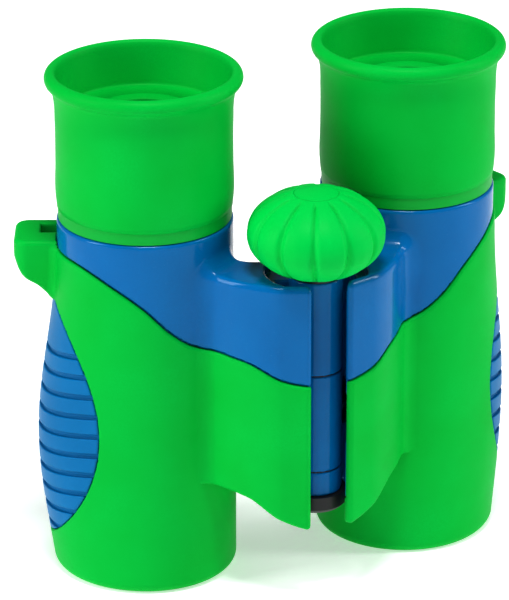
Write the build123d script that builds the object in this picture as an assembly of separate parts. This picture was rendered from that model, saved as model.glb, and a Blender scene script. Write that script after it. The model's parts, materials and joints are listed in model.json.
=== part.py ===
from build123d import *
import os
from math import cos, sin, pi, radians, sqrt

os.makedirs("parts", exist_ok=True)

# Compact 8 x 21 hand-held binoculars with a rubber armour, standing on their objective ends.
# Millimetres. +Z runs from the objectives up to the eyepieces, and -Y is the side with the hinge.
# Each half is built in its own frame, with the hinge axis on Z and the flat of its bridge facing -Y,
# as the left half. It is then turned to its rest place. The right half is its mirror image.

# Overall sizes
HEIGHT = 102.2            # floor to the rim of the eyecups
BARREL_TOP = 72.8         # top of the hard barrel
BARREL_REACH = 34.5       # hinge axis to barrel axis
BARREL_SWEEP = 18.5       # barrel axis behind the line of the bridge, degrees
REST_TURN = 20.0          # each half turned in from flat, degrees

# Barrel and bridge skin
SKIN_RADIUS = 17.0        # hard barrel at its top
SWELL = 3.9               # palm swell on the outer side
SWELL_MIDDLE = 27.0
SWELL_REACH = 39.0        # the swell fades out this far above its middle
ARMOUR_PROUD = 0.4        # armour stands this much above the hard skin
ARMOUR_SEAT = 0.85        # and lies this deep in it
FOOT_ROUND = 2.0          # rounding of the armour where it stands
SHELL_BORE = 13.56        # bore of the barrel, around the objective cell
BRIDGE_FRONT = 9.05
BRIDGE_BACK = 5.2
BRIDGE_TOP = 65.7
BRIDGE_BOTTOM = 15.1
BRIDGE_HEEL = 22.0        # bottom of the bridge where it meets the barrel
BRIDGE_GAP = 0.9          # end face of each half in front of the hinge, from the middle plane
FOLD_SLOPE = 0.47         # end face behind the hinge leans away by this, so the halves fold

# Hinge and focus gear
KNUCKLE_RADIUS = 5.19
KNUCKLE_ROOM = 5.5        # pocket round the other half's knuckles
FRONT_ROOM = 7.7          # the pocket is wider than that in front of the hinge
FRONT_LINE = -1.0         # from here forward
AXLE_RADIUS = 3.9
AXLE_BORE = 3.2
LOW_KNUCKLE = (20.5, 25.45)
MID_KNUCKLE = (25.6, 45.58)
TOP_KNUCKLE = (45.74, 64.9)
CAP_RADIUS = 6.1
CAP_ROOM = 6.4
CAP_BOTTOM = 17.1
HUB_ROOM = 9.8            # round recess in the top of the bridge, under the knob
HUB_FLOOR = 63.9
ARM_WINDOW = (32.4, 42.1)
ARM_WIDTH = 3.0
ARM_REACH = 25.6
ARM_LEAN = 8.0            # the arm points this far behind the line of the bridge, degrees
ARM_SCREW = 23.6          # its screw, from the hinge axis
ARM_THICK = 1.2
ARM_LEVEL = {"left": 38.0, "right": 35.3}
CARRIAGE = (32.9, 41.6)
SPINDLE_RADIUS = 1.6
KNOB_RADIUS = 13.29
KNOB_MIDDLE = 73.35
KNOB_HALF = 8.62
KNOB_FOOT = 65.65
KNOB_DISC = 4.3           # radius of the disc in its top
CORE_SHOULDERS = (67.6, 78.4)
CORE_SEAT = 79.0          # top of the spindle, under the screw
CORE_TOP = 80.6
KNOB_FLUTES = 12
KNOB_FIRST_FLUTE = 7.6    # degrees from +X

# Eyepiece
CUP_BOTTOM = 75.2
CUP_RADIUS = 17.0
CUP_FLOOR = 93.6
BEAD_RADIUS = 1.45
BEAD_MIDDLE = 17.4        # radius of the ring that the rim bead follows
SLEEVE_RADIUS = 14.4
SKIRT_RADIUS = 15.6
TUBE_RADIUS = 12.4
RUNNING = 0.06            # radial clearance between parts that turn or slide

# Grip, strap lug and objective end
GRIP_SPAN = 65.1          # the grip reaches this far round the barrel each way, degrees
GRIP_HALF_HEIGHT = 25.05
GRIP_MIDDLE = 32.25
GRIP_POINTS = 24          # points of its outline
RIB_PITCH = 4.08
RIB_COUNT = 10
RIB_TOP = 45.9
RIB_SAG_RADIUS = 46.0
RIB_GROOVE = 0.9
RIB_DEPTH = 0.7
LUG_OUT = 58.0
LUG_TOP = 68.2
LUG_FACE = 63.7
LUG_ROOT = 55.9
LUG_FRONT = 7.9
LUG_BACK = 20.2
STRAP_SLOT = (-53.0, 13.3, 17.7)   # outer wall, front wall, back wall
OBJECTIVE_MOUTH = 12.6
WALL_FAR = 60.0           # reach of the cutting blocks

BARREL_BACK = BARREL_REACH * sin(radians(BARREL_SWEEP + REST_TURN))
RIM_RADIUS = BEAD_MIDDLE + BEAD_RADIUS
HINGE_Y = (KNOB_RADIUS - RIM_RADIUS - BARREL_BACK) / 2   # so the origin is under the middle
BARREL_X = -BARREL_REACH * cos(radians(BARREL_SWEEP))
BARREL_Y = BARREL_REACH * sin(radians(BARREL_SWEEP))
BARREL = Pos(BARREL_X, BARREL_Y, 0)
ALONG_ARM = Rot(0, 0, 180 - ARM_LEAN)       # turns +X from the hinge along the focus arm


# ---------------------------------------------------------------- small helpers

def tube(outer, inner, low, high):
    """An upright tube, or a rod if inner is 0, on the Z axis."""
    ring = Circle(outer) - Circle(inner) if inner else Circle(outer)
    return Pos(0, 0, low) * extrude(ring, high - low)


def turned(points):
    """A body of revolution about Z from (radius, height) points."""
    return revolve(Plane.XZ * make_face(Polyline(*points, close=True)), Axis.Z)


def fan(radius, start, end, low, high):
    """A wedge about the Z axis between two angles."""
    angles = [radians(start + (end - start) * step / 12) for step in range(13)]
    rim = [(radius * cos(angle), radius * sin(angle)) for angle in angles]
    return Pos(0, 0, low) * extrude(make_face(Polyline((0, 0), *rim, close=True)), high - low)


def block(x, y, z):
    """A box from three (low, high) pairs."""
    return Pos(x[0], y[0], z[0]) * Box(x[1] - x[0], y[1] - y[0], z[1] - z[0], align=(Align.MIN,) * 3)


def lens(radius, low, high, low_sag, high_sag):
    """A round lens. low and high are its faces on the axis, and each sag bends a face inward."""

    def face_arc(level, sag):
        ball = (radius ** 2 + sag ** 2) / (2 * abs(sag))
        half_way = (ball - sqrt(ball ** 2 - radius ** 2 / 4)) * (1 if sag > 0 else -1)
        return (0, level), (radius / 2, level + half_way), (radius, level + sag)

    under = ThreePointArc(*face_arc(low, low_sag))
    over = ThreePointArc(*face_arc(high, -high_sag))
    rim = Line(under @ 1, over @ 1)
    axis = Line(under @ 0, over @ 0)
    return revolve(Plane.XZ * make_face([under, rim, over, axis]), Axis.Z)


def curve_region(points, low):
    """Everything under a smooth curve of (x, z) points, down to low, across the whole depth."""
    top = Spline(*points)
    first, last = points[0], points[-1]
    sides = Polyline(last, (last[0], low), (first[0], low), first)
    return extrude(Plane.XZ * make_face([top, sides]), WALL_FAR, both=True)


# ---------------------------------------------------------------- shared shapes of one half

def swell(height):
    away = (height - SWELL_MIDDLE) / SWELL_REACH
    return SWELL * cos(pi / 2 * away) ** 2


def half_disc(radius, reach, turn):
    """Half a disc on the side that turn faces, stretched to reach if that is more than radius."""
    flat = Line((0, radius), (0, -radius))
    bow = EllipticalCenterArc((0, 0), max(reach, radius + 0.001), radius, turn - 90, arc_size=180)
    return make_face([flat, bow])


def barrel_body(grow, low, foot=0):
    """The whole barrel, grown outward from the hard skin, with the palm swell on its outer side.

    foot is the rounding of its lower edge."""
    radius = SKIN_RADIUS + grow
    fade = SWELL_MIDDLE + SWELL_REACH
    levels = [low] + [SWELL_MIDDLE + SWELL_REACH * step / 4 for step in range(-2, 5)]
    palm = loft([Pos(0, 0, z) * half_disc(radius, radius + swell(z), 180) for z in levels])
    inner_half = tube(radius, 0, low, BARREL_TOP) & block((0, WALL_FAR), (-WALL_FAR, WALL_FAR), (0, 80))
    upper_half = Pos(0, 0, fade) * extrude(half_disc(radius, radius, 180), BARREL_TOP - fade)
    body = inner_half + palm + upper_half
    if foot:
        body = fillet(body.edges().filter_by(lambda edge: edge.center().Z < low + 0.01), foot)
    return BARREL * body


def bridge_section(grow):
    """Barrel and bridge in plan, with hollow fillets where they meet."""
    front = -BRIDGE_FRONT
    outline = [(6, front), (-10.3, front), (-13.2, -6.6), (-24.0, 0.5), (BARREL_X, BARREL_Y)]
    outline += [(-20, BRIDGE_BACK), (6, BRIDGE_BACK)]
    plan = make_face(Polyline(*outline, close=True)) + BARREL * Circle(SKIN_RADIUS)

    def off_skin(vertex):
        return abs((Vector(vertex.X, vertex.Y) - Vector(BARREL_X, BARREL_Y)).length - SKIN_RADIUS)

    front_valley, back_valley = plan.vertices().sort_by(off_skin)[:2].sort_by(Axis.Y)
    plan = fillet(front_valley, 2.5)
    back_valley = plan.vertices().sort_by(off_skin).filter_by(lambda v: v.Y > 0)[0]
    plan = fillet(back_valley, 5.0)
    shoulder = plan.vertices().sort_by(lambda v: abs(v.X + 10.3) + abs(v.Y - front))[0]
    plan = fillet(shoulder, 4.0)
    return offset(plan, grow, kind=Kind.INTERSECTION) if grow else plan


def own_side(gap):
    """Plan of the side that belongs to one half, cut back behind the hinge so that it folds."""
    knee = 1.2
    back = -(gap + FOLD_SLOPE * (WALL_FAR - knee))
    outline = [(-gap, -WALL_FAR), (-gap, knee), (back, WALL_FAR), (-2 * WALL_FAR, WALL_FAR)]
    return make_face(Polyline(*outline, (-2 * WALL_FAR, -WALL_FAR), close=True))


def half_body(grow, gap, lift, low, foot=0):
    """One half as a plain solid: the swollen barrel and the bridge with its rising lower edge."""
    inner_side = Pos(BARREL_X + WALL_FAR, 0) * Rectangle(2 * WALL_FAR, 2 * WALL_FAR)
    plan = bridge_section(grow) & own_side(gap) & inner_side
    bridge = Pos(0, 0, BRIDGE_BOTTOM) * extrude(plan, BRIDGE_TOP - BRIDGE_BOTTOM)
    lower_edge = [(6, BRIDGE_BOTTOM), (-0.9, BRIDGE_BOTTOM), (-6.9, 17.3), (-12.6, 21.1)]
    lower_edge += [(-17, BRIDGE_HEEL), (-24, BRIDGE_HEEL)]
    bridge -= Pos(0, 0, lift) * curve_region(lower_edge, 0)
    return bridge + barrel_body(grow, low, foot)


def armour_zone():
    """The height that the armour reaches, as a region under its top edge."""
    edge = [(6, 45.0), (-0.9, 45.1), (-6, 46.1), (-12.6, 49.2), (-17.5, 50.0), (-22.3, 50.5)]
    edge += [(-27.5, 54.3), (-32.5, 59.4), (-38.8, 63.8), (-45.5, 66.7), (-50, 66.8), (-60, 66.8)]
    return curve_region(edge, -5)


def grip_zone(inset=0):
    """The outline of the grip: an oval wrapped round the outer side, pushed in from that side."""
    radius = SKIN_RADIUS + ARMOUR_PROUD
    outline = []
    for index in range(GRIP_POINTS):
        turn = 2 * pi * index / GRIP_POINTS
        across = (radius - inset) * sin(radians(GRIP_SPAN * cos(turn)))
        outline.append((BARREL_Y + across, GRIP_MIDDLE + (GRIP_HALF_HEIGHT - inset) * sin(turn)))
    leaf = Plane.YZ * make_face(Spline(*outline, periodic=True))
    return Pos(BARREL_X, 0, 0) * extrude(leaf, -WALL_FAR)


# ---------------------------------------------------------------- housing, armour and grip

def solid_housing():
    """The housing before it is hollowed, which the armour is moulded onto."""
    full = half_body(0, BRIDGE_GAP, 0, 1.3)
    seat = half_body(-ARMOUR_SEAT, BRIDGE_GAP, 1.2, 1.3)
    zone = armour_zone()
    end_wrap = block((-BRIDGE_GAP - 1.2, 6), (-WALL_FAR, WALL_FAR), (0, LOW_KNUCKLE[0] - 0.05))
    return (full - zone) + (seat & zone) - end_wrap


def hinge_room():
    """Space round the hinge: wide in front of it and at its cap, close behind it."""
    front = block((-WALL_FAR, WALL_FAR), (-WALL_FAR, FRONT_LINE), (0, BRIDGE_TOP + 1))
    room = tube(KNUCKLE_ROOM, 0, 0, BRIDGE_TOP + 1) + (tube(FRONT_ROOM, 0, 0, BRIDGE_TOP + 1) & front)
    return room + tube(CAP_ROOM, 0, 0, LOW_KNUCKLE[0])


def housing(side):
    """Hard shell: barrel tube, bridge, hinge knuckles and the window for the focus arm."""
    body = solid_housing()
    knuckles = [MID_KNUCKLE] if side == "right" else [LOW_KNUCKLE, TOP_KNUCKLE]
    pocket = hinge_room()
    for low, high in knuckles:
        pocket -= block((-WALL_FAR, WALL_FAR), (FRONT_LINE, WALL_FAR), (low, high))
    body -= pocket
    behind_wall = block((-WALL_FAR, WALL_FAR), (-FRONT_ROOM, WALL_FAR), (0, BRIDGE_TOP + 1))
    body -= tube(HUB_ROOM, 0, HUB_FLOOR, BRIDGE_TOP + 1) & behind_wall
    for low, high in knuckles:
        body += tube(KNUCKLE_RADIUS, 0, low, high)
    body -= tube(AXLE_RADIUS + (RUNNING if side == "right" else 0), 0, 0, BRIDGE_TOP)
    body -= BARREL * tube(SHELL_BORE, 0, 0, 67.5)
    body -= BARREL * tube(SLEEVE_RADIUS, 0, 67.4, BARREL_TOP + 1)
    body -= ALONG_ARM * block((0, ARM_REACH), (-1.9, 1.9), ARM_WINDOW)
    if side == "right":
        body -= knuckle_window()
        body -= block((-2.1, 0), (-BRIDGE_FRONT, -6.3), ARM_WINDOW)
    return body


def knuckle_window():
    """Slot round the middle knuckle that the left focus arm swings in."""
    return fan(9, -15, 81, *ARM_WINDOW)


def strap_lug():
    """Ear on the outer side with its underside sloping down to the barrel."""
    top = Polyline((-44, LUG_ROOT), (-44, LUG_TOP), (-LUG_OUT, LUG_TOP), (-LUG_OUT, LUG_FACE))
    under = Spline((-LUG_OUT, LUG_FACE), (-57, 61.9), (-53, 58.7), (-51.3, 57.1), (-49.8, LUG_ROOT))
    foot = Line((-49.8, LUG_ROOT), (-44, LUG_ROOT))
    ear = Pos(0, LUG_FRONT, 0) * extrude(Plane.XZ * make_face([top, under, foot]), LUG_FRONT - LUG_BACK)
    upright = ear.edges().filter_by(Axis.Z).sort_by(Axis.X)[:2]
    ear = fillet(upright, 2.6)
    rim = ear.edges().filter_by(lambda e: e.center().Z > LUG_TOP - 0.01 and e.center().X < -45)
    outer_wall, front_wall, back_wall = STRAP_SLOT
    slot = block((outer_wall, -44), (front_wall, back_wall), (LUG_ROOT - 1, LUG_TOP + 1))
    return fillet(rim, 0.8) - slot - barrel_body(0, 0)


def armour():
    """Moulded rubber jacket from the objective rim up to the strap lug."""
    jacket = half_body(ARMOUR_PROUD, BRIDGE_GAP, 0, 0, FOOT_ROUND) & armour_zone()
    jacket -= grip_zone()
    jacket += strap_lug()
    jacket -= solid_housing()
    jacket -= BARREL * tube(OBJECTIVE_MOUTH, 0, -1, 3)
    return jacket - hinge_room()


def rib_grooves():
    """Curved grooves, evenly stacked, that part the ribs of the grip."""
    grooves = []
    for index in range(RIB_COUNT):
        low = RIB_TOP - RIB_PITCH * index
        centre = Pos(BARREL_Y, low + RIB_SAG_RADIUS)
        band = centre * (Circle(RIB_SAG_RADIUS) - Circle(RIB_SAG_RADIUS - RIB_GROOVE))
        window = Pos(BARREL_Y, low + 3) * Rectangle(60, 8)
        grooves.append(extrude(Plane.YZ * (band & window), -80))
    return grooves


def grip_pad():
    """Ribbed pad that fills the leaf-shaped opening of the armour."""
    leaf = grip_zone(RUNNING)
    pad = (barrel_body(ARMOUR_PROUD, 0) & leaf) - solid_housing()
    floor_of_grooves = barrel_body(ARMOUR_PROUD - RIB_DEPTH, 0)
    for groove in rib_grooves():
        pad -= groove - floor_of_grooves
    return pad


# ---------------------------------------------------------------- objective end

def objective_cell(side):
    """Sliding cell of the objective, with a strip up to the shelf that the focus arm holds."""
    level = ARM_LEVEL[side]
    cell = tube(SHELL_BORE - RUNNING, 11.2, 8, 22) + tube(SHELL_BORE - RUNNING, 10.0, 8, 9.2)
    strip = tube(SHELL_BORE - RUNNING, 12.2, 21, level)
    strip += tube(SHELL_BORE - RUNNING, 9.0, level - 1.6, level)
    strip = (BARREL * strip) & ALONG_ARM * block((0, ARM_REACH + 0.4), (-3.2, 3.2), (0, 60))
    return BARREL * cell + strip


def objective_crown():
    return BARREL * lens(11.1, 9.8, 14.6, 1.2, 1.6)


def objective_flint():
    return BARREL * lens(11.1, 14.75, 16.6, -1.6, 0.4)


def objective_retainer():
    return BARREL * tube(11.2, 9.8, 17.0, 19.5)


def objective_bezel():
    """Black ring inside the mouth, in front of the cell, with a bevelled inner edge."""
    return BARREL * turned([(SHELL_BORE, 1.3), (SHELL_BORE, 5.5), (11.6, 5.5), (12.3, 1.3)])


# ---------------------------------------------------------------- prisms

def prism_cage():
    """Round cage with a square well that holds both prisms."""
    cage = tube(SHELL_BORE, 0, 44, 66)
    cage -= block((-7.1, 7.1), (-6.1, 6.1), (45.5, 64.5))
    return BARREL * (cage - tube(6.0, 0, 43, 67))


def prism_clip():
    """Spring strip that holds the upper prism down."""
    strip = block((-7.0, 7.0), (-2, 2), (64.0, 64.5)) - tube(5.0, 0, 60, 70)
    legs = block((-7.0, -6.5), (-2, 2), (62, 64.5)) + block((6.5, 7.0), (-2, 2), (62, 64.5))
    return BARREL * (strip + legs)


def prism_block(outline):
    return BARREL * (Pos(0, 6, 0) * extrude(Plane.XZ * make_face(Polyline(*outline, close=True)), 12))


def lower_prism():
    """Half pentaprism."""
    return prism_block([(-7, 45.5), (6.2, 45.5), (6.2, 51.5), (0.4, 53.9), (-7, 50.8)])


def upper_prism():
    """Roof prism."""
    return prism_block([(-6.3, 51.9), (0.5, 54.7), (6.3, 52.3), (6.3, 61.5), (-6.3, 61.5)])


# ---------------------------------------------------------------- eyepiece

def eyecup():
    """Soft cup: flared rim with a round bead, and a stepped floor round the eye lens."""
    wall = Polyline((SKIRT_RADIUS, CUP_BOTTOM), (16.75, CUP_BOTTOM))
    bulge = Spline((16.75, CUP_BOTTOM), (17.15, 77.5), (CUP_RADIUS, 84), (CUP_RADIUS, 91), (17.9, 99.4))
    rim_level = HEIGHT - BEAD_RADIUS
    bead = ThreePointArc((17.9, 99.4), (BEAD_MIDDLE + BEAD_RADIUS, rim_level), (BEAD_MIDDLE, HEIGHT))
    lip = ThreePointArc((BEAD_MIDDLE, HEIGHT), (16.45, 101.83), (16.0, rim_level))
    inside = Polyline((16.0, rim_level), (15.2, CUP_FLOOR + 0.4), (14.8, CUP_FLOOR), (10.2, CUP_FLOOR),
                      (9.8, CUP_FLOOR + 0.5), (8.0, CUP_FLOOR + 0.5), (7.4, CUP_FLOOR), (7.4, CUP_FLOOR - 1),
                      (SLEEVE_RADIUS, CUP_FLOOR - 1), (SLEEVE_RADIUS + RUNNING, CUP_FLOOR - 1.2),
                      (SLEEVE_RADIUS + RUNNING, 85.0), (SKIRT_RADIUS, 85.0), (SKIRT_RADIUS, CUP_BOTTOM))
    return BARREL * revolve(Plane.XZ * make_face([wall, bulge, bead, lip, inside]), Axis.Z)


def eyepiece_ring(side):
    """Ring under the eyecup with a skirt up inside it. The right one sets the dioptre."""
    slack = RUNNING
    ring = tube(16.7, SLEEVE_RADIUS + slack, BARREL_TOP + 0.12, CUP_BOTTOM)
    ring += tube(SKIRT_RADIUS, SLEEVE_RADIUS + slack, CUP_BOTTOM - 0.1, 85.0)
    if side == "right":
        ring -= tube(SKIRT_RADIUS - 0.4, 0, 76.6, 80.4)
    return BARREL * ring


def ocular_sleeve(side):
    """Fixed sleeve in the top of the barrel, which the ocular tube slides in."""
    sleeve = tube(SLEEVE_RADIUS, TUBE_RADIUS + RUNNING, 67.5, CUP_FLOOR - 1.2)
    if side == "right":
        sleeve -= block((-WALL_FAR, 0), (-0.7, 0.7), (76.6, 80.4))
    return BARREL * sleeve


def dioptre_pin():
    """Pin of the right ocular tube that follows the groove in the dioptre ring."""
    pin = extrude(Circle(0.55), 3.0)
    return BARREL * Pos(-12.0, 0, 78.5) * Rot(0, -90, 0) * pin


def ocular_tube(side):
    """Lens tube of the eyepiece."""
    shell = turned([(TUBE_RADIUS, 69.5), (TUBE_RADIUS, 91.2), (6.4, 91.2), (6.4, 90.6), (8.0, 90.6),
                    (8.0, 82.5), (10.2, 80.0), (10.2, 69.5)])
    shell = BARREL * shell
    return shell - dioptre_pin() if side == "right" else shell


def eye_lens():
    return BARREL * lens(8.0, 86.4, 90.6, 0.9, 0.55)


def lens_spacer():
    return BARREL * tube(8.0, 7.0, 82.6, 87.05)


def field_lens():
    return BARREL * lens(10.2, 74.2, 79.4, 1.0, 1.2)


def ocular_retainer():
    return BARREL * tube(10.2, 9.0, 71.4, 74.9)


def field_stop():
    return BARREL * tube(10.2, 6.5, 69.6, 71.2)


# ---------------------------------------------------------------- hinge and focus gear

def focus_arm(side):
    """Flat arm from a ring on the carriage, through the windows, to the objective cell."""
    level = ARM_LEVEL[side]
    ring = tube(2.95, 2.3, level, level + ARM_THICK)
    bar = block((2.5, ARM_REACH), (-ARM_WIDTH / 2, ARM_WIDTH / 2), (level, level + ARM_THICK))
    return ALONG_ARM * (ring + bar - Pos(ARM_SCREW, 0, 0) * tube(0.6, 0, 0, 60))


def arm_screw(side):
    level = ARM_LEVEL[side]
    head = tube(1.1, 0, level + ARM_THICK, level + ARM_THICK + 0.8)
    slot = block((-2, 2), (-0.2, 0.2), (level + ARM_THICK + 0.4, level + ARM_THICK + 1))
    shank = tube(0.6, 0, level, level + ARM_THICK)
    return ALONG_ARM * Pos(ARM_SCREW, 0, 0) * (head + shank - slot)


def hinge_axle():
    """Hollow axle through every knuckle, with a window on each side for the focus arms."""
    axle = tube(AXLE_RADIUS, AXLE_BORE, LOW_KNUCKLE[0], TOP_KNUCKLE[1])
    return axle - fan(9, 122, 182, *ARM_WINDOW) - fan(9, -42, 69, *ARM_WINDOW)


def hinge_cap():
    """Black end cap under the lowest knuckle, with a plug up inside the axle."""
    top = LOW_KNUCKLE[0]
    cap = turned([(0, CAP_BOTTOM), (CAP_RADIUS - 0.8, CAP_BOTTOM), (CAP_RADIUS, CAP_BOTTOM + 0.8),
                  (CAP_RADIUS, top), (0, top)])
    return cap + tube(AXLE_BORE, 0, top, 24.0)


def friction_washers():
    """Two thin washers between the knuckles that give the hinge its drag."""
    lower = tube(5.0, AXLE_RADIUS + RUNNING, LOW_KNUCKLE[1], MID_KNUCKLE[0])
    upper = tube(5.0, AXLE_RADIUS + RUNNING, MID_KNUCKLE[1], TOP_KNUCKLE[0])
    return [lower, upper]


def focus_carriage():
    """Threaded nut that rides on the spindle, with a groove for each arm's ring."""
    nut = tube(AXLE_BORE - RUNNING, 0, *CARRIAGE)
    for level in ARM_LEVEL.values():
        nut -= tube(AXLE_BORE, 2.25, level - 0.04, level + ARM_THICK + 0.04)
    return nut - tube(SPINDLE_RADIUS + RUNNING, 0, 0, 60)


def focus_spindle():
    """Steel spindle: thread below, plain above, with a collar and a groove for its clip."""
    rod = tube(SPINDLE_RADIUS, 0, 28.0, 50.0) + tube(2.2, 0, 49.9, 79.0)
    return rod - tube(2.3, 1.7, 61.0, 61.6)


def spindle_clip():
    """Clip that keeps the spindle from lifting out."""
    return tube(2.9, 1.7, 61.05, 61.55) - block((0, 4), (-1.0, 1.0), (60, 63))


def spindle_bush():
    """Black flanged bush in the top of the hinge that the spindle turns in."""
    bush = tube(5.1, 0, TOP_KNUCKLE[1], 65.5) + tube(AXLE_BORE, 0, 61.8, 65.0)
    return bush - tube(2.2 + RUNNING, 0, 60, 70)


def knob_profile(shrink):
    """Squashed ball, flat on top and underneath."""
    wide, tall = KNOB_RADIUS - shrink, KNOB_HALF - shrink
    ball = Plane.XZ * (Pos(0, KNOB_MIDDLE) * Ellipse(wide, tall) & Pos(20, KNOB_MIDDLE) * Rectangle(40, 40))
    return revolve(ball, Axis.Z)


def core_room(bore):
    """Outline of the core, which the grip is moulded round."""
    foot = tube(5.0, bore, KNOB_FOOT, CORE_SHOULDERS[0])
    return foot + tube(8.6, bore, *CORE_SHOULDERS) + tube(KNOB_DISC, bore, CORE_SHOULDERS[1], CORE_SEAT)


def knob_core():
    """Hard core of the knob, splined on the spindle."""
    return core_room(2.2) + tube(KNOB_DISC, 1.3, CORE_SEAT, CORE_TOP)


def knob_grip():
    """Soft grip of the knob with deep flutes from the top disc over the edge."""
    grip = knob_profile(0) & block((-20, 20), (-20, 20), (KNOB_FOOT, 90))
    for index in range(KNOB_FLUTES):
        path = Pos(0, KNOB_MIDDLE) * Ellipse(KNOB_RADIUS + 0.35, KNOB_HALF + 0.35)
        hollow = path - Pos(0, KNOB_MIDDLE) * Ellipse(KNOB_RADIUS - 0.55, KNOB_HALF - 0.55)
        hollow = hollow & Pos(12.3, KNOB_MIDDLE + 2) * Rectangle(16, 17)
        flute = extrude(Plane.XZ * hollow, 0.55, both=True)
        grip -= Rot(0, 0, KNOB_FIRST_FLUTE + 360 / KNOB_FLUTES * index) * flute
    grip -= core_room(0)
    return grip - tube(KNOB_DISC, 0, CORE_SEAT, 90)


def knob_cap():
    """Disc in the middle of the knob's top."""
    return turned([(0, CORE_TOP), (KNOB_DISC, CORE_TOP), (KNOB_DISC, 81.35), (3.9, 81.6), (0, 81.6)])


def knob_screw():
    """Screw that holds the core to the spindle, under the cap."""
    return tube(1.3, 0, CORE_SEAT, 80.4)


# ---------------------------------------------------------------- placing and writing

def place(side, shape):
    """Moves a shape from the half's own frame to its rest place."""
    moved = Pos(0, HINGE_Y, 0) * Rot(0, 0, -REST_TURN) * shape
    return moved if side == "left" else mirror(moved, about=Plane.YZ)


def write(name, shape):
    solids = shape if isinstance(shape, list) else shape.solids()
    whole = solids[0] if len(solids) == 1 else Compound(children=list(solids))
    export_step(whole, f"parts/{name}.step")


BOTH_SIDES = {
    "armour": armour, "grip_pad": grip_pad, "eyecup": eyecup,
    "objective_crown_lens": objective_crown, "objective_flint_lens": objective_flint,
    "objective_retainer": objective_retainer, "objective_bezel": objective_bezel,
    "prism_cage": prism_cage, "prism_clip": prism_clip,
    "lower_prism": lower_prism, "upper_prism": upper_prism,
    "eye_lens": eye_lens, "lens_spacer": lens_spacer, "field_lens": field_lens,
    "ocular_retainer": ocular_retainer, "field_stop": field_stop,
}
HANDED = {
    "housing": housing, "objective_cell": objective_cell, "eyepiece_ring": eyepiece_ring,
    "ocular_sleeve": ocular_sleeve, "ocular_tube": ocular_tube,
    "focus_arm": focus_arm, "focus_arm_screw": arm_screw,
}
ON_HINGE = {
    "hinge_axle": hinge_axle, "hinge_cap": hinge_cap, "friction_washers": friction_washers,
    "focus_carriage": focus_carriage, "focus_spindle": focus_spindle, "spindle_clip": spindle_clip,
    "spindle_bush": spindle_bush, "focus_knob_core": knob_core, "focus_knob_grip": knob_grip,
    "focus_knob_cap": knob_cap, "focus_knob_screw": knob_screw,
}

for name, make in BOTH_SIDES.items():
    shape = make()
    for side in ("left", "right"):
        write(f"{side}_{name}", place(side, shape))

for name, make in HANDED.items():
    for side in ("left", "right"):
        write(f"{side}_{name}", place(side, make(side)))

write("right_dioptre_pin", place("right", dioptre_pin()))

for name, make in ON_HINGE.items():
    shape = make()
    if isinstance(shape, list):
        write(name, [Pos(0, HINGE_Y, 0) * piece for piece in shape])
    else:
        write(name, Pos(0, HINGE_Y, 0) * shape)
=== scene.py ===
import bpy
import json
import numpy as np
from math import cos, pi, radians, sin
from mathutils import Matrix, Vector


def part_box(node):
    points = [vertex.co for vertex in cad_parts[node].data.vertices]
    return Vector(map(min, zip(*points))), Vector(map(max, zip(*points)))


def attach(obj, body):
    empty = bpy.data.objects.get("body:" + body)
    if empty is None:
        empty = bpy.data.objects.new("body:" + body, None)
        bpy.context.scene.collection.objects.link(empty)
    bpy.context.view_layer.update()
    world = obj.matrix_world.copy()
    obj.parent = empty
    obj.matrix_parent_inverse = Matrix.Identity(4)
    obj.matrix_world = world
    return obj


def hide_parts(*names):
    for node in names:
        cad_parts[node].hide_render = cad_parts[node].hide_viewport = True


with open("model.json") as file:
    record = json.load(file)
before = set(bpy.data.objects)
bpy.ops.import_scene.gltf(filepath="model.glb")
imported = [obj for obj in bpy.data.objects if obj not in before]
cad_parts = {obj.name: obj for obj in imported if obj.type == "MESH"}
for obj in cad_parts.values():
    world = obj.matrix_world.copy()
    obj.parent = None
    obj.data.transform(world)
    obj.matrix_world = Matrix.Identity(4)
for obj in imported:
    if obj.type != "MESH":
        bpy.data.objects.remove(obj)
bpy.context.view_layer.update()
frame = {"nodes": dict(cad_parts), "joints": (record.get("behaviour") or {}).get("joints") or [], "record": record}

# Looks of the compact binoculars. The shells are built from distance fields in the frame of the
# left half, in millimetres, as in the CAD: the hinge axis is Z and the flat of the bridge faces -Y.
# Each is meshed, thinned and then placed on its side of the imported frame, in metres. The right half
# is the mirror image of the left.

MM = 0.001
JOINTS = {joint["name"]: joint for joint in frame["joints"]}
HINGE = Vector(JOINTS["eye_spacing_hinge"]["pos_m"]).xy / MM
REST_TURN = radians(20)   # each half turned in from flat

CUP_LOW, CUP_HIGH = (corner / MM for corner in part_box("left_eyecup"))
OFF_HINGE = ((CUP_LOW + CUP_HIGH) / 2).xy - HINGE
BARREL_X = OFF_HINGE.x * cos(REST_TURN) - OFF_HINGE.y * sin(REST_TURN)
BARREL_Y = OFF_HINGE.x * sin(REST_TURN) + OFF_HINGE.y * cos(REST_TURN)
HEIGHT = CUP_HIGH.z
CUP_BOTTOM = CUP_LOW.z
BARREL_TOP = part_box("left_housing")[1].z / MM
RIM_RADIUS = (CUP_HIGH.x - CUP_LOW.x) / 2

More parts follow.
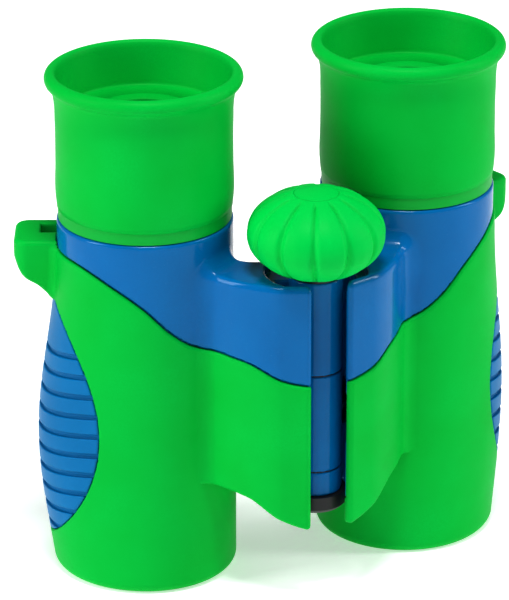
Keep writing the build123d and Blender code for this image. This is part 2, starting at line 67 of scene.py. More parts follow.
# Skin of one half
SKIN_RADIUS = 17.0
SWELL = 3.9               # palm swell on the outer side
SWELL_MIDDLE = 27.0
SWELL_REACH = 39.0
ARMOUR_PROUD = 0.4        # the armour stands this much above the hard skin
ARMOUR_SEAT = 0.85        # and lies this deep in it
FOOT_ROUND = 2.0
SHELL_FOOT = 1.3          # foot of the hard shell above the floor
BRIDGE_FRONT = 9.05
BRIDGE_BACK = 5.2
BRIDGE_TOP = 65.7
BRIDGE_GAP = 0.9          # end face of each half, from the middle plane
FOLD_SLOPE = 0.47         # behind FOLD_KNEE it leans away by this, so the halves fold
FOLD_KNEE = 1.2
TOP_ROUND = 1.5           # rounding of the bridge's top edges
END_ROUND = 0.9           # and of its upright end edges
SHOULDER = [(-10.3, -9.05), (-13.2, -6.6), (-24.0, 0.5)]
LOWER_EDGE = [(-24, 22.0), (-17, 22.0), (-12.6, 21.1), (-6.9, 17.3), (-0.9, 15.1), (6, 15.1)]
ARMOUR_EDGE = [(-60, 66.8), (-50, 66.8), (-45.5, 66.7), (-38.8, 63.8), (-32.5, 59.4), (-27.5, 54.3),
               (-22.3, 50.5), (-17.5, 50.0), (-12.6, 49.2), (-6, 46.1), (-0.9, 45.1), (6, 45.0)]
SEAM = 0.3                # width of the open line between the armour and the hard shell
LIFT = 1.2                # the armour wraps this far up under the bridge

# Hinge and bores
KNUCKLE_RADIUS = 5.19
KNUCKLE_ROOM = 5.5
FRONT_ROOM = 7.7          # the space round the hinge is wider than that in front
FRONT_LINE = -1.0         # from here forward
CAP_ROOM = 6.4
AXLE_RADIUS = 3.9
LEFT_KNUCKLES = [(20.5, 25.45), (45.74, 64.9)]
RIGHT_KNUCKLES = [(25.6, 45.58)]
HUB_ROOM = 9.8            # round recess under the knob
HUB_FLOOR = 63.9
SHELL_BORE = 13.56
SLEEVE_RADIUS = 14.4
SLEEVE_FLOOR = 67.5
OBJECTIVE_MOUTH = 12.6
ARM_WINDOW = (32.4, 42.1)
ARM_LEAN = radians(172)   # the focus arm points this way from the hinge
ARM_REACH = 25.6
ARM_ROOM = 1.9            # half the width of its window
SWING = (radians(-15), radians(81))  # window that the left arm swings in, in the right knuckle
SWING_REACH = 9.0
END_SLOT = (-2.1, -6.3)   # shallow slot in the right end face, its inner and back wall

# Strap lug and grip
LUG_OUT = 58.0
LUG_TOP = 68.2
LUG_FRONT = 7.9
LUG_BACK = 20.2
LUG_ROOT = -44            # it starts inside the barrel
LUG_UNDER = [(-60, 63.9), (-58, 63.7), (-57, 61.9), (-53, 58.7), (-51.3, 57.1), (-49.8, 55.9),
             (LUG_ROOT, 55.9)]
SLOT = (-53.0, 13.3, 17.7)  # outer, front and back wall of the strap slot
GRIP_SPAN = radians(65.1)  # how far round the barrel it reaches each way
GRIP_HALF_HEIGHT = 25.05
GRIP_MIDDLE = 32.25
RIB_PITCH = 4.08
RIB_COUNT = 10
RIB_TOP = 45.9
RIB_SAG_RADIUS = 46.0
RIB_GROOVE = 1.0
RIB_DEPTH = 0.75

# Eyecup and knob
BEAD = 1.45               # radius of the bead on the cup's rim
CUP_FLOOR = 93.6
SKIRT_RADIUS = 15.6       # bore of the cup round the eyepiece ring's skirt
SKIRT_TOP = 85.0
KNOB_MIDDLE = 73.35
KNOB_HALF = 8.62
KNOB_DISC = 4.3
FLUTES = 12
FIRST_FLUTE = 7.6         # degrees from +X
PARTING = -17             # height of the mould's parting line on the knob, degrees

FAR = 90.0                # beyond everything


# ---------------------------------------------------------------- fields

def meet(a, b, rounding=0.0):
    """Inside both a and b, with a rounded outer edge."""
    if not rounding:
        return np.maximum(a, b)
    beyond = np.hypot(np.maximum(a + rounding, 0), np.maximum(b + rounding, 0))
    return np.minimum(-rounding, np.maximum(a, b)) + beyond


def join(a, b, fillet):
    """Inside a or b, with a hollow fillet where they meet."""
    near = np.hypot(np.maximum(fillet - a, 0), np.maximum(fillet - b, 0))
    return np.maximum(fillet, np.minimum(a, b)) - near


def oval(u, v, half_u, half_v):
    """Distance to an ellipse, near enough beside it."""
    ring = np.maximum(np.hypot(u / half_u, v / half_v), 1e-3)
    slope = np.maximum(np.hypot(u / half_u ** 2, v / half_v ** 2), 1e-6)
    return ring * (ring - 1) / slope


def left_of(x, y, start, end):
    """Distance to the left of the line from start to end."""
    along = Vector(end) - Vector(start)
    along.normalize()
    return (y - start[1]) * along.x - (x - start[0]) * along.y


def between(value, low, high):
    return np.abs(value - (low + high) / 2) - (high - low) / 2


def cubic(at, places, values):
    """Height and slope, at some places, of a smooth curve through (place, value) points."""
    slopes = np.gradient(values, places)
    span = np.clip(np.searchsorted(places, at) - 1, 0, len(places) - 2)
    width = (places[1:] - places[:-1])[span]
    t = (at - places[span]) / width
    start, end = slopes[span] * width, slopes[span + 1] * width
    rise = values[span + 1] - values[span]
    bend, twist = 3 * rise - 2 * start - end, start + end - 2 * rise
    height = values[span] + t * start + t ** 2 * bend + t ** 3 * twist
    return height, (start + 2 * t * bend + 3 * t ** 2 * twist) / width


def under_curve(x, z, points):
    """Distance above a smooth curve through (x, z) points: inside is under it."""
    places, levels = np.array(points, float).T
    level, tilt = cubic(np.clip(x, places[0], places[-1]), places, levels)
    return (z - level) / np.sqrt(1 + tilt ** 2)


def barrel_skin(x, y, z, grow):
    """The barrel's side, with its palm swell on the outer side."""
    away = np.clip((z - SWELL_MIDDLE) / SWELL_REACH, -1, 1)
    swell = SWELL * np.cos(pi / 2 * away) ** 2
    u, radius = x - BARREL_X, SKIN_RADIUS + grow
    return oval(u, y - BARREL_Y, np.where(u < 0, radius + swell, radius), radius)


def half_body(x, y, z, grow, lift=0.0, foot=0.0, foot_round=0.0, edge=0.5):
    """Barrel and bridge of one half, grown outward from the hard skin."""
    corner, knee, root = SHOULDER
    slant = join(left_of(x, y, corner, knee), left_of(x, y, knee, root), 3.0)
    face = meet(-(y + BRIDGE_FRONT), slant, 4.0) - grow
    fold_top = (-BRIDGE_GAP - FOLD_SLOPE * FAR, FOLD_KNEE + FAR)
    side = meet(x + BRIDGE_GAP, left_of(x, y, fold_top, (-BRIDGE_GAP, FOLD_KNEE)))
    web = meet(meet(meet(face, y - BRIDGE_BACK - grow), side, END_ROUND), BARREL_X - x)
    skin = barrel_skin(x, y, z, grow)
    valley = 2.5 + 2.5 * np.clip((y + 3) / 8, 0, 1)
    filled = meet(join(web, skin, valley), BARREL_X - x)
    above_heel = -under_curve(x, z - lift, LOWER_EDGE)
    filled, web = (meet(meet(plan, z - BRIDGE_TOP, TOP_ROUND), above_heel, edge) for plan in (filled, web))
    barrel = meet(meet(skin, z - BARREL_TOP, 0.7), foot - z, foot_round)
    return np.minimum(filled, join(web, barrel, 0.3 + 3.2 * np.clip((z - 45) / 15, 0, 1)))


def hard_core(x, y, z, grow):
    """What the armour is moulded onto, below its top edge."""
    core = half_body(x, y, z, grow - ARMOUR_SEAT, lift=LIFT, foot=SHELL_FOOT)
    end_wrap = meet(-(x + BRIDGE_GAP + LIFT), z - LEFT_KNUCKLES[0][0])
    return meet(core, -end_wrap)


def bare_shell(x, y, z):
    """The part of the hard skin that shows above the armour."""
    return meet(half_body(x, y, z, 0.0, foot=SHELL_FOOT), SEAM - under_curve(x, z, ARMOUR_EDGE), 0.3)


def hinge_room(x, y, z):
    """Space round the hinge: wide in front of it and at its cap, close behind it."""
    from_hinge = np.hypot(x, y)
    front = meet(from_hinge - FRONT_ROOM, y - FRONT_LINE)
    cap = meet(from_hinge - CAP_ROOM, z - LEFT_KNUCKLES[0][0])
    return np.minimum.reduce([from_hinge - KNUCKLE_ROOM, front, cap])


def housing_field(right):
    own = RIGHT_KNUCKLES if right else LEFT_KNUCKLES

    def field(x, y, z):
        body = np.minimum(bare_shell(x, y, z), hard_core(x, y, z, 0.0))
        from_hinge = np.hypot(x, y)
        levels = np.minimum.reduce([between(z, low, high) for low, high in own])
        necks = meet(levels, FRONT_LINE - y)
        body = meet(body, -meet(hinge_room(x, y, z), -necks), 0.25)
        hub = meet(meet(from_hinge - HUB_ROOM, HUB_FLOOR - z), -(y + FRONT_ROOM))
        body = meet(body, -hub, 0.4)
        body = np.minimum(body, meet(from_hinge - KNUCKLE_RADIUS, levels, 0.3))
        body = meet(body, AXLE_RADIUS - from_hinge)
        from_barrel = np.hypot(x - BARREL_X, y - BARREL_Y)
        body = meet(body, -meet(from_barrel - SHELL_BORE, z - SLEEVE_FLOOR))
        body = meet(body, -meet(from_barrel - SLEEVE_RADIUS, SLEEVE_FLOOR - z), 0.3)
        along = x * cos(ARM_LEAN) + y * sin(ARM_LEAN)
        across = y * cos(ARM_LEAN) - x * sin(ARM_LEAN)
        at_arm = between(z, *ARM_WINDOW)
        window = meet(between(along, 0, ARM_REACH), meet(np.abs(across) - ARM_ROOM, at_arm))
        body = meet(body, -window)
        if right:
            low, high = SWING
            wedge = meet(x * sin(low) - y * cos(low), y * cos(high) - x * sin(high))
            inner, back = END_SLOT
            slot = meet(meet(inner - x, between(y, -BRIDGE_FRONT, back)), at_arm)
            body = meet(body, -slot, 0.2)
            body = meet(body, -meet(meet(wedge, from_hinge - SWING_REACH), at_arm))
        return body

    return field


def lug_field(x, y, z):
    """Ear for the strap, with its sloping underside and its slot."""
    plan = meet(-(x + LUG_OUT), between(y, LUG_FRONT, LUG_BACK), 2.6)
    ear = meet(meet(plan, x - LUG_ROOT), z - LUG_TOP, 0.9)
    ear = meet(ear, -under_curve(x, z, LUG_UNDER), 0.8)
    wall, front, back = SLOT
    slot = meet(wall - x, between(y, front, back))
    return meet(ear, -slot, 0.5)


def leaf(x, y, z):
    """The grip's outline, an oval wrapped round the outer side of the barrel."""
    radius = SKIN_RADIUS + ARMOUR_PROUD
    around = np.arctan2(np.abs(y - BARREL_Y) / radius, (BARREL_X - x) / (radius + SWELL))
    return oval(around * (radius + 1), z - GRIP_MIDDLE, GRIP_SPAN * (radius + 1), GRIP_HALF_HEIGHT)


def armour_field(x, y, z):
    jacket = half_body(x, y, z, ARMOUR_PROUD, foot_round=FOOT_ROUND, edge=0.7)
    jacket = meet(jacket, under_curve(x, z, ARMOUR_EDGE), 0.35)
    jacket = meet(jacket, -leaf(x, y, z), 0.35)
    jacket = join(jacket, lug_field(x, y, z), 1.6)
    jacket = meet(jacket, -hard_core(x, y, z, 0.03))
    jacket = meet(jacket, -meet(half_body(x, y, z, 0.03), SEAM - under_curve(x, z, ARMOUR_EDGE)))
    jacket = meet(jacket, OBJECTIVE_MOUTH - np.hypot(x - BARREL_X, y - BARREL_Y), 0.7)
    return meet(jacket, -hinge_room(x, y, z), 0.3)


def grip_field(x, y, z):
    """Leaf of stacked ribs, parted by sagging grooves that undercut the rib above."""
    pad = meet(barrel_skin(x, y, z, ARMOUR_PROUD - 0.05), leaf(x, y, z) + 0.12, 0.3)
    sag = RIB_SAG_RADIUS - np.sqrt(RIB_SAG_RADIUS ** 2 - np.clip(y - BARREL_Y, -20, 20) ** 2)
    level = z - sag - RIB_TOP - RIB_GROOVE / 2
    nearest = np.clip(np.round(-level / RIB_PITCH), 0, RIB_COUNT - 1)
    groove = np.abs(level + RIB_PITCH * nearest) - RIB_GROOVE / 2
    floor = -barrel_skin(x, y, z, ARMOUR_PROUD - RIB_DEPTH)
    pad = meet(pad, -meet(groove, floor, 0.2), 0.22)
    return meet(pad, -hard_core(x, y, z, 0.03))


# ---------------------------------------------------------------- meshing

def slope_of(field, points, reach=0.02):
    """Direction in which the field grows, at each point."""
    steps = np.eye(3) * reach
    return np.stack([field(*(points + s).T) - field(*(points - s).T) for s in steps], 1) / (2 * reach)


def settle(field, points, step, rounds=3):
    """Moves points onto the surface."""
    for _ in range(rounds):
        slope = slope_of(field, points)
        size = np.maximum((slope ** 2).sum(1), 0.2)
        move = slope * (field(*points.T) / size)[:, None]
        length = np.linalg.norm(move, axis=1, keepdims=True)
        points = points - move * np.minimum(1, 0.4 * step / np.maximum(length, 1e-9))
    return points


def surface(field, low, high, step):
    """Points and four-sided faces of a field's surface, one point to each cell it passes through."""
    axes = [np.arange(a, b + step, step) for a, b in zip(low, high)]
    values = np.concatenate([field(*np.meshgrid(part, axes[1], axes[2], indexing="ij"))
                             for part in np.array_split(axes[0], 12)])
    inside = values < 0
    corners = [(a, b, c) for a in (0, 1) for b in (0, 1) for c in (0, 1)]
    size = np.array(values.shape) - 1
    count = sum(inside[a:a + size[0], b:b + size[1], c:c + size[2]].astype(np.int8) for a, b, c in corners)
    cells = np.argwhere((count > 0) & (count < 8))
    index = np.full(size, -1)
    index[tuple(cells.T)] = np.arange(len(cells))
    total, crossings = np.zeros((len(cells), 3)), np.zeros((len(cells), 1))
    for start in corners:
        for axis in range(3):
            if start[axis]:
                continue
            end = tuple(1 if a == axis else s for a, s in enumerate(start))
            first, last = values[tuple((cells + start).T)], values[tuple((cells + end).T)]
            crossed = (first < 0) != (last < 0)
            share = np.where(crossed, first / np.where(crossed, first - last, 1), 0)
            place = np.array(start, float)[None, :] + share[:, None] * np.eye(3)[axis]
            total += place * crossed[:, None]
            crossings += crossed[:, None]
    points = np.array(low, float) + (cells + total / crossings) * step
    faces = []
    for axis in range(3):
        one, two = [a for a in range(3) if a != axis]
        ahead = [slice(None)] * 3
        behind = [slice(None)] * 3
        ahead[axis], behind[axis] = slice(1, None), slice(None, -1)
        change = inside[tuple(behind)].astype(np.int8) - inside[tuple(ahead)]
        edges = np.argwhere(change != 0)
        edges = edges[(edges[:, one] > 0) & (edges[:, two] > 0)
                      & (edges[:, one] < size[one]) & (edges[:, two] < size[two])]
        ring = []
        for back_one, back_two in ((1, 1), (0, 1), (0, 0), (1, 0)):
            cell = edges.copy()
            cell[:, one] -= back_one
            cell[:, two] -= back_two
            ring.append(index[tuple(cell.T)])
        ring = np.stack(ring, 1)
        outward = change[tuple(edges.T)] * (-1 if axis == 1 else 1)
        ring[outward < 0] = ring[outward < 0][:, ::-1]
        faces.append(ring)
    return settle(field, points, step), np.concatenate(faces)


def new_piece(name, points, faces, normals=None):
    mesh = bpy.data.meshes.new(name)
    mesh.from_pydata(points.tolist(), [], faces.tolist() if hasattr(faces, "tolist") else faces)
    mesh.update()
    mesh.shade_smooth()
    if normals is not None:
        mesh.normals_split_custom_set_from_vertices(normals.tolist())
    piece = bpy.data.objects.new(name, mesh)
    bpy.context.scene.collection.objects.link(piece)
    return piece


def thinned(points, faces, share):
    """The same surface with fewer faces, where it is flat."""
    piece = new_piece("thinning", points, faces)
    thin = piece.modifiers.new("thin", "DECIMATE")
    thin.ratio = share
    thin.use_collapse_triangulate = True
    shape = piece.evaluated_get(bpy.context.evaluated_depsgraph_get()).to_mesh()
    kept = np.empty(len(shape.vertices) * 3)
    shape.vertices.foreach_get("co", kept)
    corners = np.empty(len(shape.loops), int)
    shape.loops.foreach_get("vertex_index", corners)
    bpy.data.objects.remove(piece)
    return kept.reshape(-1, 3), corners.reshape(-1, 3)


def shell_shape(field, low, high, step, share):
    """Points, faces and normals of a field's surface in the frame of one half."""
    points, faces = surface(field, low, high, step)
    points, faces = thinned(points, faces, share)
    points = settle(field, points, step, rounds=2)
    normals = slope_of(field, points)
    return points, faces, normals / np.linalg.norm(normals, axis=1, keepdims=True)


def placed(name, shape, right):
    """Puts a shape of one half at its rest place on its side."""
    points, faces, normals = (part.copy() for part in shape)
    turn = np.array([[cos(REST_TURN), sin(REST_TURN), 0], [-sin(REST_TURN), cos(REST_TURN), 0], [0, 0, 1]])
    points = (points @ turn.T + [HINGE.x, HINGE.y, 0]) * MM
    normals = normals @ turn.T
    if right:
        points[:, 0] *= -1
        normals[:, 0] *= -1
        faces = faces[:, ::-1]
    return new_piece(name, points, faces, normals)


# ---------------------------------------------------------------- materials

def linear(red, green, blue):
    """A colour given as 0 to 255 on a screen."""
    shares = [c / 255 for c in (red, green, blue)]
    return tuple(c / 12.92 if c <= 0.04 else ((c + 0.055) / 1.055) ** 2.4 for c in shares) + (1,)


class Finish:
    """A material whose colour, roughness and bump come from small node chains."""

    def __init__(self, name):
        self.material = bpy.data.materials.new(name)
        self.material.use_nodes = True
        self.tree = self.material.node_tree
        self.shader = self.tree.nodes["Principled BSDF"]
        self.place = self.tree.nodes.new("ShaderNodeTexCoord").outputs["Object"]

    def node(self, kind, **values):
        made = self.tree.nodes.new(kind)
        for key, value in values.items():
            if hasattr(made, key):
                setattr(made, key, value)
            else:
                made.inputs[key.replace("_", " ").title()].default_value = value
        return made

    def link(self, start, end):
        self.tree.links.new(start, end)

    def noise(self, scale, detail=2.0, roughness=0.5, stretch=None):
        place = self.place
        if stretch:
            mapping = self.node("ShaderNodeMapping")
            mapping.inputs["Scale"].default_value = stretch
            self.link(place, mapping.inputs["Vector"])
            place = mapping.outputs[0]
        made = self.node("ShaderNodeTexNoise", Scale=scale, Detail=detail, Roughness=roughness)
        self.link(place, made.inputs["Vector"])
        return made.outputs[0]

    def spread(self, value, low, high, start=0.3, end=0.7):
        """Maps a noise to a range of values."""
        made = self.node("ShaderNodeMapRange")
        for key, number in (("From Min", start), ("From Max", end), ("To Min", low), ("To Max", high)):
            made.inputs[key].default_value = number
        self.link(value, made.inputs["Value"])
        return made.outputs[0]

    def blend(self, share, first, second):
        """Colour that runs from first to second; each is a colour or an output."""
        made = self.node("ShaderNodeMix", data_type="RGBA")
        self.link(share, made.inputs["Factor"])
        sockets = [s for s in made.inputs if s.type == "RGBA"]
        for socket, colour in zip(sockets, (first, second)):
            if isinstance(colour, tuple):
                socket.default_value = colour
            else:
                self.link(colour, socket)
        return [s for s in made.outputs if s.type == "RGBA"][0]

    def bump(self, height, strength, distance, under=None):
        made = self.node("ShaderNodeBump", Strength=strength, Distance=distance)
        self.link(height, made.inputs["Height"])
        if under:
            self.link(under, made.inputs["Normal"])
        return made.outputs[0]

    def finish(self, colour=None, roughness=None, normal=None, **constants):
        for socket, value in (("Base Color", colour), ("Roughness", roughness), ("Normal", normal)):
            if value is not None:
                self.link(value, self.shader.inputs[socket])
        for key, value in constants.items():
            self.shader.inputs[key.replace("_", " ")].default_value = value
        return self.material


def moulded(name, main, deep, light, rough, grain, grain_depth, waves=0.0, specks=0.0, **constants):
    """Moulded rubber or plastic: cloudy colour, fine grain, faint flow waves and specks of dust."""
    f = Finish(name)
    cloud = f.noise(55, 3.0, 0.55)
    fine = f.noise(grain, 2.0, 0.6)
    tint = f.blend(f.spread(cloud, 0, 1), deep, light)
    tint = f.blend(f.spread(fine, 0.25, 0.75, 0.35, 0.65), tint, main)
    if specks:
        dust = f.spread(f.noise(3200, 0.0), 0.0, specks, 0.76, 0.84)
        tint = f.blend(dust, tint, linear(120, 175, 215))
    normal = f.bump(fine, 0.5, grain_depth)
    if waves:
        normal = f.bump(f.noise(160, 1.0), 0.5, waves, normal)
    roughness = f.spread(f.noise(90, 4.0, 0.6), rough - 0.05, rough + 0.06)
    return f.finish(tint, roughness, normal, **constants)


def metal(name, colour, rough, stretch):
    f = Finish(name)
    lines = f.noise(900, 3.0, 0.6, stretch)
    tint = f.blend(f.spread(lines, 0, 1), colour, tuple(0.8 * c for c in colour[:3]) + (1,))
    roughness = f.spread(lines, rough - 0.06, rough + 0.08)
    return f.finish(tint, roughness, f.bump(lines, 0.4, 0.00001), Metallic=1.0)


def glass(name, tint, dirt):
    f = Finish(name)
    cloud = f.noise(120, 3.0)
    colour = f.blend(f.spread(cloud, 0, 1), tint, tuple(min(1, 0.94 * c) for c in tint[:3]) + (1,))
    return f.finish(colour, f.spread(f.noise(300, 5.0, 0.7), 0.02, 0.02 + dirt), None,
                    Transmission_Weight=0.85, IOR=1.52, Coat_Weight=0.6, Coat_Tint=tint)


MATERIALS = {
    "green_rubber": moulded(
        "green_rubber", linear(0, 188, 71), linear(0, 180, 62), linear(1, 196, 82), 0.45, 2600, 0.00003,
        waves=0.00003, Specular_IOR_Level=0.07),
    "green_plastic": moulded(
        "green_plastic", linear(0, 176, 66), linear(0, 168, 58), linear(1, 184, 76), 0.42, 2200, 0.00002,
        Specular_IOR_Level=0.2),
    "knob_green": moulded(
        "knob_green", linear(0, 202, 87), linear(0, 194, 77), linear(1, 210, 98), 0.48, 2400, 0.00003,
        waves=0.00002, Specular_IOR_Level=0.07),
    "blue_shell": moulded(
        "blue_shell", linear(0, 114, 176), linear(0, 107, 167), linear(0, 122, 185), 0.15, 1800, 0.000003,
        waves=0.00004, specks=0.06, Specular_IOR_Level=0.2),
    "blue_rubber": moulded(
        "blue_rubber", linear(0, 120, 175), linear(0, 112, 165), linear(0, 128, 184), 0.4, 2400, 0.00002,
        waves=0.00002, Specular_IOR_Level=0.14),
    "black_plastic": moulded(
        "black_plastic", linear(22, 22, 24), linear(15, 15, 17), linear(32, 32, 35), 0.42, 2000, 0.00003),
    "optical_glass": glass("optical_glass", (0.93, 0.96, 0.97, 1), 0.02),
    "coated_glass": glass("coated_glass", (0.70, 0.45, 0.80, 1), 0.03),
    "brass": metal("brass", (0.80, 0.58, 0.25, 1), 0.3, (1, 1, 12)),
    "steel": metal("steel", (0.62, 0.62, 0.64, 1), 0.28, (1, 1, 12)),
}


def dress(piece, slot):
    piece.data.materials.clear()
    piece.data.materials.append(MATERIALS[slot])
    return piece


def stand_for(piece, body, slot, *nodes):
    """Finishes a piece that replaces CAD nodes on a body."""
    dress(piece, slot)
    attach(piece, body)
    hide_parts(*nodes)
    return piece


# ---------------------------------------------------------------- turned pieces

def arc(centre, radius, start, end, count=12):
    """(radius, height) points round an arc between two angles."""
    angles = np.radians(np.linspace(start, end, count))
    return [(centre[0] + radius * cos(a), centre[1] + radius * sin(a)) for a in angles]


def curve_through(points, count):
    """Evenly spaced points on a smooth curve that rises through (radius, height) points."""
    radii, levels = np.array(points, float).T
    at = np.linspace(levels[0], levels[-1], count)
    return list(zip(cubic(at, levels, radii)[0].tolist(), at.tolist()))


def softened(points, size, steps=4):
    """Rounds every corner of a closed (radius, height) outline that turns sharply."""
    corners = [np.array(p, float) for p in points]
    result = []
    for before, here, after in zip(corners[-1:] + corners[:-1], corners, corners[1:] + corners[:1]):
        back, on = before - here, after - here
        turn = np.dot(back, on) / (np.linalg.norm(back) * np.linalg.norm(on))
        if turn < -0.9:
            result.append(here)
            continue
        reach = min(size, 0.45 * np.linalg.norm(back), 0.45 * np.linalg.norm(on))
        first = here + back / np.linalg.norm(back) * reach
        last = here + on / np.linalg.norm(on) * reach
        for share in np.linspace(0, 1, steps + 1):
            result.append((1 - share) ** 2 * first + 2 * share * (1 - share) * here + share ** 2 * last)
    return result


def lathe(name, outline, centre, segments=180, wander=None):
    """A ring turned from a closed outline. wander(angle, height) moves each point outward a little."""
    outline = np.array(outline, float)
    angles = np.linspace(0, 2 * pi, segments, endpoint=False)
    spin = np.stack([np.cos(angles), np.sin(angles)], 1)
    radii = outline[None, :, 0] + (wander(angles[:, None], outline[None, :, 1]) if wander else 0)
    points = np.empty((segments, len(outline), 3))
    points[:, :, 0] = centre[0] + spin[:, :1] * radii
    points[:, :, 1] = centre[1] + spin[:, 1:] * radii
    points[:, :, 2] = outline[None, :, 1]
    index = np.arange(segments * len(outline)).reshape(segments, -1)
    ahead, above = np.roll(index, -1, 0), np.roll(index, -1, 1)
    faces = np.stack([index, ahead, np.roll(ahead, -1, 1), above], 2).reshape(-1, 4)
    return new_piece(name, points.reshape(-1, 3) * MM, faces)


def barrel_centre(right):
    corner = (CUP_LOW + CUP_HIGH) / 2
    return (-corner.x if right else corner.x, corner.y)


def eyecup(side):
    """Soft cup with a round bead on its rim and a stepped floor round the eye lens."""
    right = side == "right"
    middle = RIM_RADIUS - BEAD
    wall = curve_through([(16.85, CUP_BOTTOM), (17.08, CUP_BOTTOM + 2.5), (17.0, CUP_BOTTOM + 9),
                          (17.02, CUP_BOTTOM + 17), (17.3, HEIGHT - 4.6), (17.78, HEIGHT - 2.75)], 26)
    rim = arc((middle, HEIGHT - BEAD), BEAD, -60, 92, 20)
    inner = [(17.0, HEIGHT - 0.12), (16.75, HEIGHT - 0.5), (16.6, HEIGHT - 1.3), (16.2, HEIGHT - 3.6)]
    inner += [(15.75, CUP_FLOOR + 2.6), (15.35, CUP_FLOOR + 1.2)]
    inner += arc((14.55, CUP_FLOOR + 0.7), 0.7, 0, -90, 6)
    step = [(10.4, CUP_FLOOR), (10.0, CUP_FLOOR + 0.08), (9.8, CUP_FLOOR + 0.3), (8.1, CUP_FLOOR + 0.3),
            (7.4, CUP_FLOOR), (7.3, CUP_FLOOR - 1)]
    sleeve = SLEEVE_RADIUS + 0.06
    hidden = [(sleeve, CUP_FLOOR - 1), (sleeve, SKIRT_TOP), (SKIRT_RADIUS, SKIRT_TOP),
              (SKIRT_RADIUS, CUP_BOTTOM)]
    outline = wall + rim + inner + softened(step + hidden, 0.2)
    phase = 0.7 if right else 2.1

    def wander(angle, height):
        """The soft rim is a little out of round."""
        share = np.clip((height - 92) / (HEIGHT - 92), 0, 1)
        return 0.1 * share * np.sin(2 * angle + phase) * np.where(height < 95, 0, 1)

    cup = lathe(f"{side}_eyecup_rubber", outline, barrel_centre(right), 216, wander)
    body = "right_dioptre_ring" if right else "left_half"
    return stand_for(cup, body, "green_rubber", f"{side}_eyecup")


# ---------------------------------------------------------------- focus knob

def knob_dent(angle, tilt, wide):
    """How far the grip's surface lies inside the plain squashed ball."""
    height = np.degrees(tilt)
    pitch = 360 / FLUTES
    from_flute = np.abs((np.degrees(angle) - FIRST_FLUTE + pitch / 2) % pitch - pitch / 2)
    away = np.radians(from_flute) * np.cos(tilt) * wide
    reach = np.clip((69 - height) / 8, 0, 1) * np.clip((height + 62) / 12, 0, 1)
    depth = 0.5 + 0.3 * np.clip((30 - height) / 40, 0, 1)
    flute = depth * reach * np.exp(-(away / (0.26 + 0.38 * np.cos(tilt) ** 2)) ** 2)
    lobe = 0.09 * np.cos(tilt) * np.cos(np.radians(from_flute * 6))
    parting = 0.03 * np.exp(-((height - PARTING) / 0.9) ** 2)
    return flute + lobe - parting


def focus_knob():
    """Squashed ball with narrow flutes between broad lobes, as one grid round the axis."""
    low, high = (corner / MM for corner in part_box("focus_knob_grip"))
    wide = (high.x - low.x) / 2
    columns, rows = 360, 96
    angle = np.linspace(0, 2 * pi, columns, endpoint=False)[:, None]
    tilt = np.linspace(radians(-63.2), radians(70.9), rows)[None, :]
    dent = knob_dent(angle, tilt, wide)
    radius = np.cos(tilt) * (wide - dent)
    level = KNOB_MIDDLE + np.sin(tilt) * (KNOB_HALF - dent)
    top = [(KNOB_DISC, 81.3), (KNOB_DISC, 79.5)]
    hollow = [(4.35, 78.9), (8.65, 78.3), (8.65, 67.5), (5.05, 67.5), (5.05, 65.66)]
    inner = np.array(top + hollow)
    radius = np.concatenate([radius, np.repeat(inner[None, :, 0], columns, 0)], 1)
    level = np.concatenate([level, np.repeat(inner[None, :, 1], columns, 0)], 1)
    points = np.stack([HINGE.x + radius * np.cos(angle), HINGE.y + radius * np.sin(angle), level], 2)
    index = np.arange(radius.size).reshape(columns, -1)
    ahead, above = np.roll(index, -1, 0), np.roll(index, -1, 1)
    faces = np.stack([index, ahead, np.roll(ahead, -1, 1), above], 2).reshape(-1, 4)
    knob = new_piece("focus_knob_rubber", points.reshape(-1, 3) * MM, faces)
    stand_for(knob, "focus_knob", "knob_green", "focus_knob_grip")
    rim = KNOB_DISC - 0.01
    disc = [(0.0, 80.6), (rim, 80.6), (rim, 81.3)] + arc((rim - 0.2, 81.32), 0.2, 0, 75, 4)
    cap = lathe("focus_knob_disc", disc + [(2.5, 81.62), (0.0, 81.68)], (HINGE.x, HINGE.y), 96)
    stand_for(cap, "focus_knob", "knob_green", "focus_knob_cap")


# ---------------------------------------------------------------- the pieces

for node in frame["record"]["subparts"]:
    dress(frame["nodes"][node["node"]], node["material_slot"])

LOW, HIGH = (-60.0, -11.2, -1.0), (6.6, 30.4, 74.2)
armour = shell_shape(armour_field, LOW, (0.4, HIGH[1], 70.0), 0.42, 0.4)
grip = shell_shape(grip_field, (-56.0, -7.0, 6.0), (-32.0, 29.5, 57.5), 0.26, 0.5)
for side in ("left", "right"):
    right = side == "right"
    body = f"{side}_half"
    stand_for(placed(f"{side}_armour_rubber", armour, right), body, "green_rubber", f"{side}_armour")
    stand_for(placed(f"{side}_grip_ribs", grip, right), body, "blue_rubber", f"{side}_grip_pad")
    housing = shell_shape(housing_field(right), LOW, HIGH, 0.42, 0.4)
    stand_for(placed(f"{side}_shell", housing, right), body, "blue_shell", f"{side}_housing")
    eyecup(side)
focus_knob()


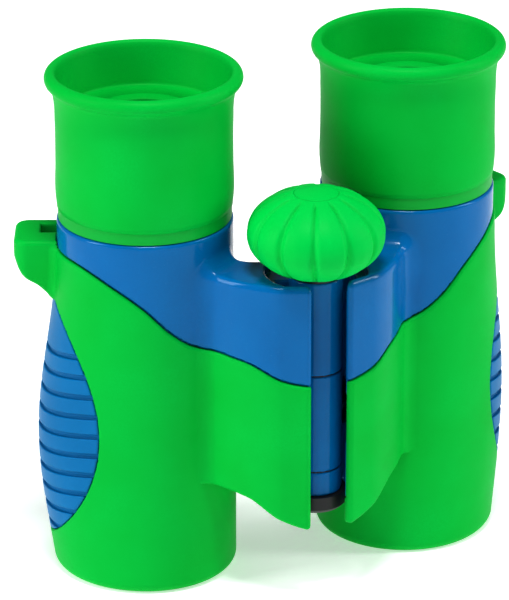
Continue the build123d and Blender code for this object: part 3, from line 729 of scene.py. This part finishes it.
# ---------------------------------------------------------------- floor, light and camera

def aimed(thing, place, target):
    thing.location = place
    thing.rotation_euler = (Vector(target) - Vector(place)).to_track_quat("-Z", "Y").to_euler()


def floor():
    size = 3.0
    corners = np.array([(-size, -size, 0), (size, -size, 0), (size, size, 0), (-size, size, 0)], float)
    sheet = new_piece("floor", corners, [(0, 1, 2, 3)])
    f = Finish("floor_paper")
    grain = f.noise(900, 3.0)
    tint = f.blend(f.spread(grain, 0, 1), (0.80, 0.80, 0.81, 1), (0.84, 0.84, 0.85, 1))
    sheet.data.materials.append(f.finish(tint, f.spread(grain, 0.8, 0.9), f.bump(grain, 0.2, 0.00002),
                                         Emission_Color=(1, 1, 1, 1), Emission_Strength=0.5))


def soft_light(name, place, target, size, power):
    lamp = bpy.data.lights.new(name, "AREA")
    lamp.shape = "RECTANGLE"
    lamp.size, lamp.size_y = size
    lamp.energy = power
    thing = bpy.data.objects.new(name, lamp)
    bpy.context.scene.collection.objects.link(thing)
    aimed(thing, place, target)


def studio():
    world = bpy.data.worlds.new("studio")
    world.use_nodes = True
    background = world.node_tree.nodes["Background"]
    background.inputs["Color"].default_value = (1, 1, 1, 1)
    background.inputs["Strength"].default_value = 0.2
    bpy.context.scene.world = world
    middle = (0, 0, 0.05)
    soft_light("left", (-1.08, 0.0, 0.6), middle, (0.3, 0.8), 8.0)
    soft_light("right", (0.98, -0.35, 0.6), middle, (0.2, 0.8), 6.0)
    soft_light("top", (-0.1, -0.3, 1.2), middle, (0.3, 0.2), 9)


def camera():
    lens = bpy.data.cameras.new("camera")
    lens.lens = 266.0
    lens.sensor_width = 36.0
    lens.clip_start, lens.clip_end = 0.05, 20
    thing = bpy.data.objects.new("camera", lens)
    bpy.context.scene.collection.objects.link(thing)
    aimed(thing, (-0.27680, -0.74290, 0.38541), (-0.003367, 0.011531, 0.050140))
    bpy.context.scene.camera = thing


floor()
studio()
camera()
bpy.context.scene.view_settings.view_transform = "Standard"
bpy.context.scene.view_settings.gamma = 0.8
